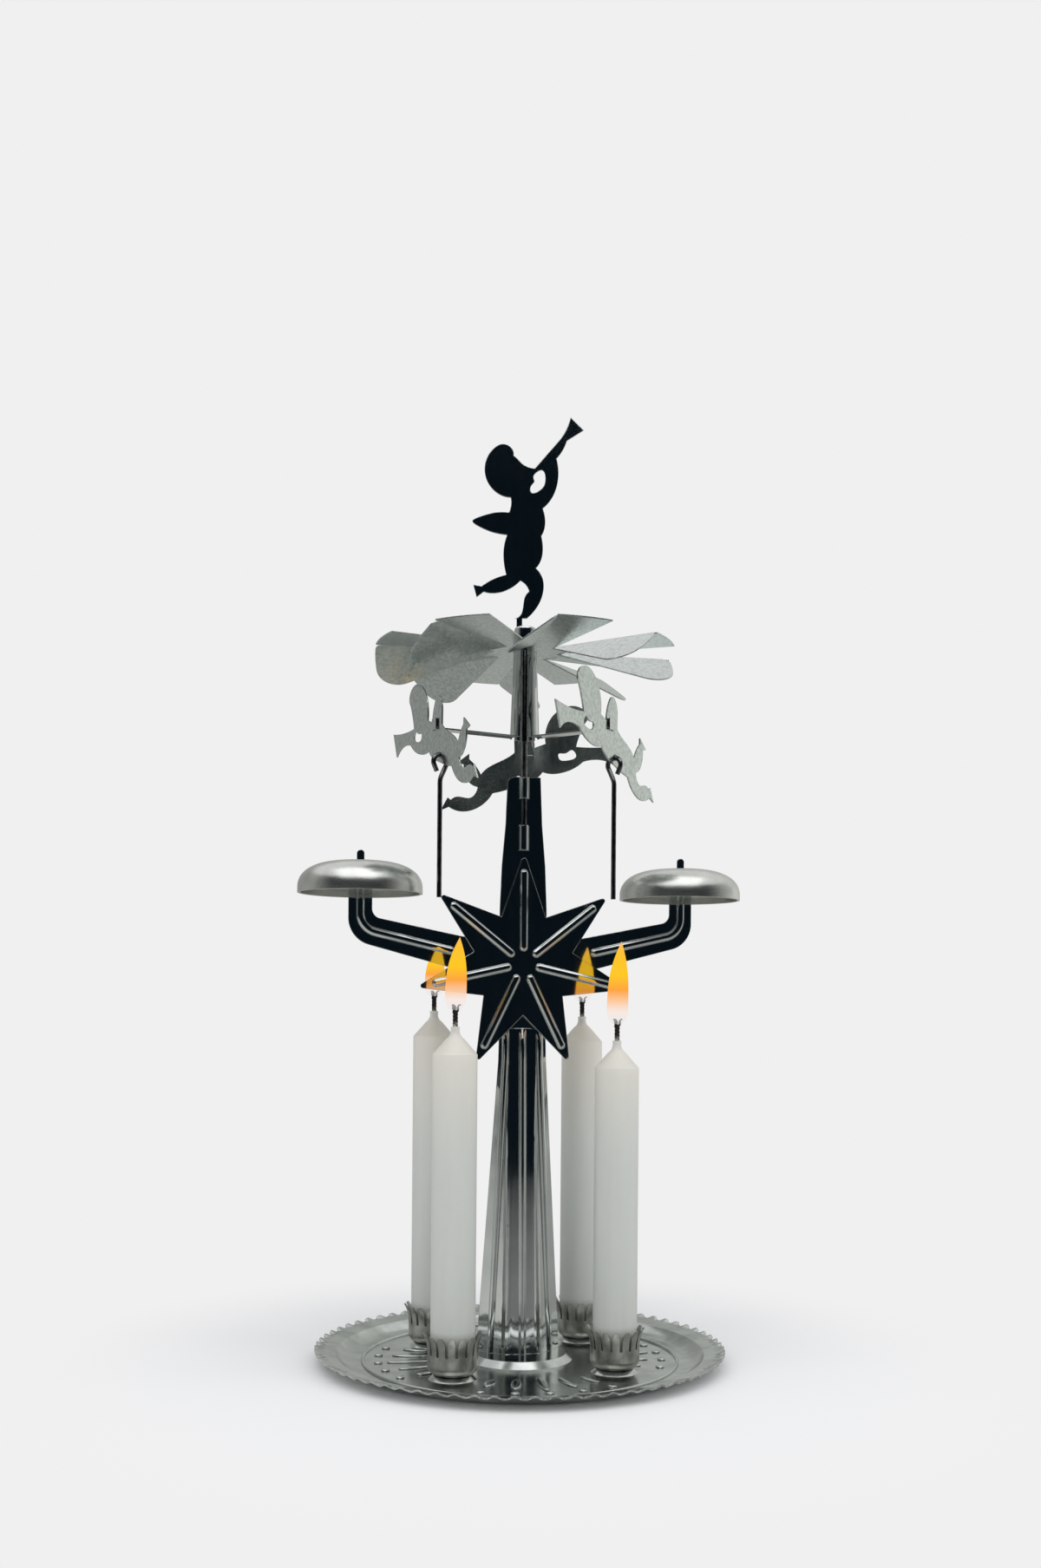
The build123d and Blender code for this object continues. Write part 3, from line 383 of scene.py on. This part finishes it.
finish_tree(relief_tree, lifted.outputs["Geometry"], given, output)

petal_points = []
petal_shares = []
for fan in range(FANS):
    for petal_turn in PETAL_TURNS:
        turn = radians(360 / FANS * fan + petal_turn)
        petal_points.append((PETAL_MIDDLE * cos(turn), PETAL_MIDDLE * sin(turn), 0.0))
        petal_shares.append((1.0 - abs(petal_turn) / PETAL_FADE, 1.0, 1.0))
        petal_points.append((DOT_RING * cos(turn), DOT_RING * sin(turn), 0.0))
        petal_shares.append(DOT_SHARE)
petal_seed = bpy.data.meshes.new("petal_seed")
petal_seed.from_pydata(petal_points, [], [])
shares = petal_seed.attributes.new("share", "FLOAT_VECTOR", "POINT")
for entry, value in zip(shares.data, petal_shares):
    entry.vector = value
relief = grow("tray_floor_relief", relief_tree, petal_seed, {
    "Petal Size": (0.0075, 0.0016, 0.0005),
    "Ring Radius": 0.0492,
    "Bead Radius": 0.0005,
    "Height": RELIEF_Z,
    "Material": tinplate,
})
dress(relief, tinplate, "stand", "tinplate")

# Candle cups: drawn from thin tinplate, satin from the drawing, with a crown of teeth that grips the
# candle. Each is swaged into its boss in the tray.
cup_tin = plated_metal(
    "cup_tin", bright=(0.51, 0.51, 0.47, 1), dull=(0.30, 0.30, 0.275, 1),
    grain=260, rough_low=0.26, rough_high=0.42, stretch=(300, 300, 900), wave=0.15,
)
SPOTS = ("front_left", "front_right", "back_left", "back_right")
for spot in SPOTS:
    cup = "cup_" + spot
    dress(smooth_copy(cup, sharp_edge=30), cup_tin, "stand", "tinplate", cup)

# Candles: white dipped wax, a little translucent, with faint runs down the sides. Each stands loose in
# its cup and lifts out. The top is painted lighter and warmer as a painted glow from the flame, and the
# foot, where it stands in the cup, is painted dark as painted shade.
# Heights over which the painted glow of the flame fades into the wax colour towards the top.
GLOW_PAINT_FROM = 0.060
GLOW_PAINT_TO = 0.112
# Heights over which the painted shade inside the cup darkens the candle's foot.
PAINTED_SHADE_TO = 0.0095
UNSHADED_FROM = 0.0150
wax = bpy.data.materials.new("white_wax")
wax.use_nodes = True
tree = wax.node_tree
bsdf = tree.nodes["Principled BSDF"]
bsdf.inputs["Subsurface Weight"].default_value = 0.35
bsdf.inputs["Subsurface Radius"].default_value = (0.006, 0.005, 0.004)
bsdf.inputs["Subsurface Scale"].default_value = 1.0
coords = tree.nodes.new("ShaderNodeTexCoord")
height = tree.nodes.new("ShaderNodeSeparateXYZ")
# Painted light: the wax colour is mixed towards a warm pale tone near the top, a painted glow from the
# flame.
painted_glow_rise = tree.nodes.new("ShaderNodeMapRange")
painted_glow_rise.interpolation_type = "SMOOTHSTEP"
painted_glow_rise.inputs["From Min"].default_value = GLOW_PAINT_FROM
painted_glow_rise.inputs["From Max"].default_value = GLOW_PAINT_TO
painted_flame_glow = tree.nodes.new("ShaderNodeMix")
painted_flame_glow.data_type = "RGBA"
painted_flame_glow.inputs["B"].default_value = (0.72, 0.69, 0.62, 1)
# Painted shade: low on the foot, where it stands in the cup, the wax colour is mixed towards dark grey.
painted_shade_fade = tree.nodes.new("ShaderNodeMapRange")
painted_shade_fade.inputs["From Min"].default_value = PAINTED_SHADE_TO
painted_shade_fade.inputs["From Max"].default_value = UNSHADED_FROM
painted_cup_shade = tree.nodes.new("ShaderNodeMix")
painted_cup_shade.data_type = "RGBA"
painted_cup_shade.inputs["A"].default_value = (0.20, 0.20, 0.18, 1)
runs = tree.nodes.new("ShaderNodeMapping")
runs.inputs["Scale"].default_value = (260, 260, 22)
run_noise = tree.nodes.new("ShaderNodeTexNoise")
run_noise.inputs["Scale"].default_value = 1.0
run_noise.inputs["Detail"].default_value = 3.0
tone = tree.nodes.new("ShaderNodeValToRGB")
tone.color_ramp.elements[0].color = (0.53, 0.55, 0.52, 1)
tone.color_ramp.elements[1].color = (0.60, 0.62, 0.59, 1)
rough = tree.nodes.new("ShaderNodeMapRange")
rough.inputs["To Min"].default_value = 0.35
rough.inputs["To Max"].default_value = 0.6
bump = tree.nodes.new("ShaderNodeBump")
bump.inputs["Strength"].default_value = 0.12
bump.inputs["Distance"].default_value = 0.0008
tree.links.new(coords.outputs["Object"], runs.inputs["Vector"])
tree.links.new(runs.outputs["Vector"], run_noise.inputs["Vector"])
tree.links.new(run_noise.outputs["Fac"], tone.inputs["Fac"])
tree.links.new(coords.outputs["Object"], height.inputs["Vector"])
tree.links.new(height.outputs["Z"], painted_glow_rise.inputs["Value"])
tree.links.new(painted_glow_rise.outputs["Result"], painted_flame_glow.inputs["Factor"])
tree.links.new(tone.outputs["Color"], painted_flame_glow.inputs["A"])
tree.links.new(height.outputs["Z"], painted_shade_fade.inputs["Value"])
tree.links.new(painted_shade_fade.outputs["Result"], painted_cup_shade.inputs["Factor"])
tree.links.new(painted_flame_glow.outputs["Result"], painted_cup_shade.inputs["B"])
tree.links.new(painted_cup_shade.outputs["Result"], bsdf.inputs["Base Color"])
tree.links.new(run_noise.outputs["Fac"], rough.inputs["Value"])
tree.links.new(rough.outputs["Result"], bsdf.inputs["Roughness"])
tree.links.new(run_noise.outputs["Fac"], bump.inputs["Height"])
tree.links.new(bump.outputs["Normal"], bsdf.inputs["Normal"])
for spot in SPOTS:
    candle = "candle_" + spot
    dress(smooth_copy(candle, sharp_edge=40), wax, candle, "wax", candle)

# Column: one bright plated sheet, flat above and folded into a fluted channel below. Two tabs go through
# the tray's platform and fold over under it.
bright_sheet = plated_metal(
    "bright_sheet", bright=(0.68, 0.70, 0.69, 1), dull=(0.61, 0.63, 0.63, 1),
    grain=90, rough_low=0.03, rough_high=0.09, stretch=(500, 500, 40), wave=0.04,
)
dress(smooth_copy("column", sharp_edge=28), bright_sheet, "stand", "bright_sheet", "column")

# Needle: drawn steel wire with a ground point, pushed down into the column's three pressed loops. The
# carousel turns on its point.
wire_steel = plated_metal(
    "drawn_wire", bright=(0.24, 0.24, 0.25, 1), dull=(0.10, 0.10, 0.11, 1),
    grain=500, rough_low=0.08, rough_high=0.20, stretch=(2500, 2500, 120), wave=0.05,
)
dress(smooth_copy("needle", sharp_edge=40), wire_steel, "stand", "steel_wire", "needle")

# Crossbar and star: pressed from the same bright sheet as the column, with raised ribs that stiffen
# them. The crossbar clips round the column's edges and the star lies in front of it.
dress(smooth_copy("crossbar", sharp_edge=28), bright_sheet, "stand", "bright_sheet", "crossbar")
dress(smooth_copy("star", sharp_edge=28), bright_sheet, "stand", "bright_sheet", "star")

# Bells: spun and nickel plated, satin with fine turning lines. Each rests loosely on the shoulders of its
# post, with the post's pin through its crown.
bell_metal = plated_metal(
    "satin_nickel", bright=(0.64, 0.65, 0.62, 1), dull=(0.55, 0.56, 0.54, 1),
    grain=180, rough_low=0.24, rough_high=0.33, stretch=(200, 200, 2200), wave=0.05,
)
for side in ("left", "right"):
    bell = "bell_" + side
    dress(smooth_copy(bell, sharp_edge=30), bell_metal, bell, "bell_metal", bell)

# Hub: three legs folded down from a cap that sits on the needle's point, in polished sheet. The legs turn
# out into the arms that carry the figures.
hub_sheet = plated_metal(
    "hub_sheet", bright=(0.62, 0.64, 0.63, 1), dull=(0.50, 0.52, 0.52, 1),
    grain=120, rough_low=0.04, rough_high=0.10, stretch=(700, 700, 60), wave=0.04,
)
dress(smooth_copy("carrier", sharp_edge=25), hub_sheet, "carousel", "satin_sheet", "carrier")

# Fan and flying figures: stamped from thin satin sheet with a fine crystal grain. The fan is pressed down
# on the hub's taper, and each figure hangs on an arm's bent tongue.
satin_sheet = plated_metal(
    "satin_sheet", bright=(0.62, 0.66, 0.64, 1), dull=(0.46, 0.50, 0.48, 1),
    grain=900, rough_low=0.15, rough_high=0.28, stretch=(900, 900, 120), wave=0.06,
)
for node in ("fan", "flying_figure_1", "flying_figure_2", "flying_figure_3"):
    dress(smooth_copy(node, sharp_edge=25), satin_sheet, "carousel", "satin_sheet", node)

# Top figure: stamped from the bright sheet of the column, so it reads as a black outline. Its tab goes
# through the slot in the hub's cap.
dress(smooth_copy("top_figure", sharp_edge=25), bright_sheet, "carousel", "bright_sheet", "top_figure")

# Strikers: bent from the needle's wire, with an open eye that hangs loosely in a hole of each figure. They
# swing out as the carousel turns and ring the bells.
for number in ("1", "2", "3"):
    striker = "striker_" + number
    dress(smooth_copy(striker, sharp_edge=40), wire_steel, striker, "steel_wire", striker)

# Wicks: three cotton strands in a braid, pale where they leave the wax and charred above, where their
# ends splay. Each is set in its candle.
WICK_STRANDS = 3
WICK_R = 0.00040
STRAND_R = 0.00042
WICK_LENGTH = 0.0085
WICK_DEPTH = 0.002
WICK_SPLAY = 0.0017
SPLAY_POWER = 9.0
SOOT_SHARE = 0.3
char = bpy.data.materials.new("charred_cotton")
char.use_nodes = True
tree = char.node_tree
bsdf = tree.nodes["Principled BSDF"]
bsdf.inputs["Roughness"].default_value = 0.95
height = tree.nodes.new("ShaderNodeAttribute")
height.attribute_name = "rise"
soot = tree.nodes.new("ShaderNodeTexNoise")
soot.inputs["Scale"].default_value = 900.0
blend = tree.nodes.new("ShaderNodeMath")
blend.operation = "MULTIPLY_ADD"
blend.inputs[1].default_value = SOOT_SHARE
burnt = tree.nodes.new("ShaderNodeValToRGB")
burnt.color_ramp.elements[0].position = 0.25
burnt.color_ramp.elements[0].color = (0.62, 0.56, 0.46, 1)
burnt.color_ramp.elements[1].position = 0.55
burnt.color_ramp.elements[1].color = (0.012, 0.010, 0.009, 1)
coords = tree.nodes.new("ShaderNodeTexCoord")
tree.links.new(coords.outputs["Object"], soot.inputs["Vector"])
tree.links.new(soot.outputs["Fac"], blend.inputs[0])
tree.links.new(height.outputs["Fac"], blend.inputs[2])
tree.links.new(blend.outputs[0], burnt.inputs["Fac"])
tree.links.new(burnt.outputs["Color"], bsdf.inputs["Base Color"])

wick_tree, given, output = new_tree(
    "braided_wick",
    ("Foot", "Vector"), ("Length", "Float"), ("Strand Offset", "Float"), ("Strand Radius", "Float"),
    ("Splay", "Float"), ("Strands", "Int"), ("Material", "Material"),
)
strand_path = wick_tree.nodes.new("GeometryNodeCurveSpiral")
strand_path.inputs["Resolution"].default_value = 24
strand_path.inputs["Rotations"].default_value = 2.5
strand_round = wick_tree.nodes.new("GeometryNodeCurvePrimitiveCircle")
strand_round.inputs["Resolution"].default_value = 8
kept_rise = wick_tree.nodes.new("GeometryNodeStoreNamedAttribute")
kept_rise.data_type = "FLOAT"
kept_rise.domain = "POINT"
kept_rise.inputs["Name"].default_value = "rise"
along = wick_tree.nodes.new("GeometryNodeSplineParameter")
strand = wick_tree.nodes.new("GeometryNodeCurveToMesh")
strand.inputs["Fill Caps"].default_value = True
points = wick_tree.nodes.new("GeometryNodePoints")
number = wick_tree.nodes.new("GeometryNodeInputIndex")
step = wick_tree.nodes.new("ShaderNodeMath")
step.operation = "MULTIPLY"
step.inputs[1].default_value = 2 * pi / WICK_STRANDS
twist = wick_tree.nodes.new("ShaderNodeCombineXYZ")
place = wick_tree.nodes.new("GeometryNodeInstanceOnPoints")
bent = wick_tree.nodes.new("GeometryNodeSetPosition")
rise = wick_tree.nodes.new("GeometryNodeInputNamedAttribute")
rise.data_type = "FLOAT"
rise.inputs["Name"].default_value = "rise"
late = wick_tree.nodes.new("ShaderNodeMath")
late.operation = "POWER"
late.inputs[1].default_value = SPLAY_POWER
sideways = wick_tree.nodes.new("ShaderNodeMath")
sideways.operation = "MULTIPLY"
shift = wick_tree.nodes.new("ShaderNodeCombineXYZ")
moved = wick_tree.nodes.new("GeometryNodeTransform")
wick_tree.links.new(given.outputs["Strand Offset"], strand_path.inputs["Start Radius"])
wick_tree.links.new(given.outputs["Strand Offset"], strand_path.inputs["End Radius"])
wick_tree.links.new(given.outputs["Length"], strand_path.inputs["Height"])
wick_tree.links.new(given.outputs["Strand Radius"], strand_round.inputs["Radius"])
wick_tree.links.new(strand_path.outputs["Curve"], kept_rise.inputs["Geometry"])
wick_tree.links.new(along.outputs["Factor"], kept_rise.inputs["Value"])
wick_tree.links.new(kept_rise.outputs["Geometry"], strand.inputs["Curve"])
wick_tree.links.new(strand_round.outputs["Curve"], strand.inputs["Profile Curve"])
wick_tree.links.new(given.outputs["Strands"], points.inputs["Count"])
wick_tree.links.new(points.outputs["Geometry"], place.inputs["Points"])
wick_tree.links.new(strand.outputs["Mesh"], bent.inputs["Geometry"])
wick_tree.links.new(bent.outputs["Geometry"], place.inputs["Instance"])
wick_tree.links.new(number.outputs["Index"], step.inputs[0])
wick_tree.links.new(step.outputs[0], twist.inputs["Z"])
wick_tree.links.new(twist.outputs["Vector"], place.inputs["Rotation"])
wick_tree.links.new(rise.outputs["Attribute"], late.inputs[0])
wick_tree.links.new(late.outputs[0], sideways.inputs[0])
wick_tree.links.new(given.outputs["Splay"], sideways.inputs[1])
wick_tree.links.new(sideways.outputs[0], shift.inputs["X"])
wick_tree.links.new(shift.outputs["Vector"], bent.inputs["Offset"])
wick_tree.links.new(place.outputs["Instances"], moved.inputs["Geometry"])
wick_tree.links.new(given.outputs["Foot"], moved.inputs["Translation"])
finish_tree(wick_tree, moved.outputs["Geometry"], given, output)
for spot in SPOTS:
    candle_low, candle_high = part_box("candle_" + spot)
    middle_x = (candle_low[0] + candle_high[0]) / 2
    middle_y = (candle_low[1] + candle_high[1]) / 2
    wick = grow("wick_" + spot + "_braid", wick_tree, bpy.data.meshes.new("wick_seed"), {
        "Foot": Vector((middle_x, middle_y, candle_high[2] - WICK_DEPTH)),
        "Length": WICK_LENGTH,
        "Strand Offset": WICK_R,
        "Strand Radius": STRAND_R,
        "Splay": WICK_SPLAY,
        "Strands": WICK_STRANDS,
        "Material": char,
    })
    dress(wick, char, "candle_" + spot, "wick", "wick_" + spot)

# Flames: pale and clear at the foot, deep orange where they leave the wick and amber to the drawn-out tip.
# They are light only, and go with the candles.
FLAME_R = 0.0032
FLAME_RINGS = 28
FLAME_SIDES = 24
FLAME_BELLY = 0.18
FLAME_TAPER = 1.6
FLAME_LEAN = 0.0012
FLAME_DIP = 0.0022
FLAME_HEIGHTS = {"front_left": 0.0220, "front_right": 0.0255, "back_left": 0.0175, "back_right": 0.0205}
flame_glow = bpy.data.materials.new("candle_flame")
flame_glow.use_nodes = True
tree = flame_glow.node_tree
bsdf = tree.nodes["Principled BSDF"]
bsdf.inputs["Base Color"].default_value = (0.0, 0.0, 0.0, 1)
bsdf.inputs["Roughness"].default_value = 1.0
bsdf.inputs["Specular IOR Level"].default_value = 0.0
bsdf.inputs["Emission Strength"].default_value = 1.0
height = tree.nodes.new("ShaderNodeAttribute")
height.attribute_name = "rise"
fire = tree.nodes.new("ShaderNodeValToRGB")
fire.color_ramp.elements[0].position = 0.0
fire.color_ramp.elements[0].color = (0.78, 0.79, 0.80, 1)
fire.color_ramp.elements[1].position = 1.0
fire.color_ramp.elements[1].color = (1.0, 0.52, 0.12, 1)
for place_on_ramp, colour in (
    (0.16, (0.95, 0.80, 0.72, 1)),
    (0.30, (1.0, 0.56, 0.30, 1)),
    (0.42, (1.0, 0.38, 0.05, 1)),
    (0.60, (1.0, 0.58, 0.02, 1)),
    (0.85, (1.0, 0.55, 0.03, 1)),
):
    fire.color_ramp.elements.new(place_on_ramp).color = colour
clear = tree.nodes.new("ShaderNodeValToRGB")
clear.color_ramp.elements[0].position = 0.0
clear.color_ramp.elements[0].color = (0.20, 0.20, 0.20, 1)
clear.color_ramp.elements[1].position = 0.36
clear.color_ramp.elements[1].color = (0.95, 0.95, 0.95, 1)
tree.links.new(height.outputs["Fac"], fire.inputs["Fac"])
tree.links.new(fire.outputs["Color"], bsdf.inputs["Emission Color"])
tree.links.new(height.outputs["Fac"], clear.inputs["Fac"])
tree.links.new(clear.outputs["Color"], bsdf.inputs["Alpha"])


def flame_mesh(name, foot, tall):
    """Rings with a round foot and a long taper, each with its share of the height kept as rise."""
    shape = bmesh.new()
    layer = shape.verts.layers.float.new("rise")
    rings = []
    for ring in range(1, FLAME_RINGS):
        share = ring / FLAME_RINGS
        if share < FLAME_BELLY:
            girth = FLAME_R * sqrt(1 - (1 - share / FLAME_BELLY) ** 2)
        else:
            girth = FLAME_R * cos(pi / 2 * ((share - FLAME_BELLY) / (1 - FLAME_BELLY)) ** FLAME_TAPER)
        middle = foot + Vector((FLAME_LEAN * share**2, 0.0, tall * share))
        row = []
        for side in range(FLAME_SIDES):
            turn = 2 * pi * side / FLAME_SIDES
            corner = shape.verts.new(middle + Vector((girth * cos(turn), girth * sin(turn), 0.0)))
            corner[layer] = share
            row.append(corner)
        rings.append(row)
    low = shape.verts.new(foot)
    low[layer] = 0.0
    high = shape.verts.new(foot + Vector((FLAME_LEAN, 0.0, tall)))
    high[layer] = 1.0
    for side in range(FLAME_SIDES):
        after = (side + 1) % FLAME_SIDES
        shape.faces.new((low, rings[0][after], rings[0][side]))
        shape.faces.new((high, rings[-1][side], rings[-1][after]))
        for lower, upper_row in zip(rings, rings[1:]):
            shape.faces.new((lower[side], lower[after], upper_row[after], upper_row[side]))
    for face in shape.faces:
        face.smooth = True
    mesh = bpy.data.meshes.new(name)
    shape.to_mesh(mesh)
    shape.free()
    return mesh


for spot in SPOTS:
    candle_low, candle_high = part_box("candle_" + spot)
    wick_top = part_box("wick_" + spot)[1][2]
    middle_x = (candle_low[0] + candle_high[0]) / 2
    middle_y = (candle_low[1] + candle_high[1]) / 2
    flame_foot = Vector((middle_x, middle_y, wick_top - FLAME_DIP))
    flame = bpy.data.objects.new(
        "flame_" + spot, flame_mesh("flame_" + spot, flame_foot, FLAME_HEIGHTS[spot])
    )
    scene.collection.objects.link(flame)
    dress(flame, flame_glow, "candle_" + spot, "wick")
